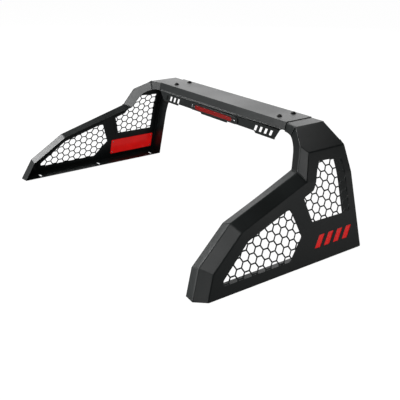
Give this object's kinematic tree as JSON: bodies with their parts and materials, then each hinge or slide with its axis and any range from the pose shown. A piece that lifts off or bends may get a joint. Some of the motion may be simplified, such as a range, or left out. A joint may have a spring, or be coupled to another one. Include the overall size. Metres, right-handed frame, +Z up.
{
  "type": "pickup headache rack",
  "caption": "Black steel hoop for a pickup bed: folded side wings with honeycomb windows, a bolted channel beam and a red brake light bar.",
  "frame": {"origin": "middle of the bed opening, on the plane of the bed rails that the side panels stand on", "axes": "+X to the truck's right side, +Y forward to the cab, +Z up"},
  "size_m": [1.5782, 0.8194, 0.4789],
  "materials": {
    "powder_coat": "satin, fine-textured black powder coat",
    "mesh_coat": "satin black",
    "red_acrylic": "gloss red",
    "pad_rubber": "matt",
    "bright_steel": "bright zinc",
    "black_steel": "black zinc",
    "lamp_plastic": "moulded black",
    "red_lens": "clear red lens",
    "circuit_board": "green solder mask"
  },
  "bodies": {
    "beam": {"beam_cover": "powder_coat", "beam_washer_1": "black_steel", "beam_bolt_1": "black_steel", "beam_nut_1": "bright_steel", "beam_washer_2": "black_steel", "beam_bolt_2": "black_steel", "beam_nut_2": "bright_steel", "beam_washer_3": "black_steel", "beam_bolt_3": "black_steel", "beam_nut_3": "bright_steel", "beam_washer_4": "black_steel", "beam_bolt_4": "black_steel", "beam_nut_4": "bright_steel", "lamp_gasket": "pad_rubber", "lamp_housing": "lamp_plastic", "lamp_board": "circuit_board", "lamp_lens": "red_lens", "lamp_screw_1": "bright_steel", "lens_screw_1": "bright_steel", "lamp_nut_1": "bright_steel", "lamp_screw_2": "bright_steel", "lens_screw_2": "bright_steel", "lamp_nut_2": "bright_steel"},
    "right_side": {"side_panel_right": "powder_coat", "mesh_lower_right": "mesh_coat", "mesh_upper_right": "mesh_coat", "base_pad_right": "pad_rubber", "accent_plate_right": "red_acrylic", "accent_screw_right_1": "bright_steel", "accent_screw_right_2": "bright_steel", "accent_screw_right_3": "bright_steel", "accent_screw_right_4": "bright_steel"},
    "left_side": {"side_panel_left": "powder_coat", "mesh_lower_left": "mesh_coat", "mesh_upper_left": "mesh_coat", "base_pad_left": "pad_rubber", "accent_plate_left": "red_acrylic", "accent_screw_left_1": "bright_steel", "accent_screw_left_2": "bright_steel", "accent_screw_left_3": "bright_steel", "accent_screw_left_4": "bright_steel"}
  },
  "joints": [
    {"name": "right_width_slide", "type": "slide", "parent": "beam", "child": "right_side", "axis": [1, 0, 0], "range_m": [0, 0.03]},
    {"name": "left_width_slide", "type": "slide", "parent": "beam", "child": "left_side", "axis": [-1, 0, 0], "range_m": [0, 0.03]}
  ]
}
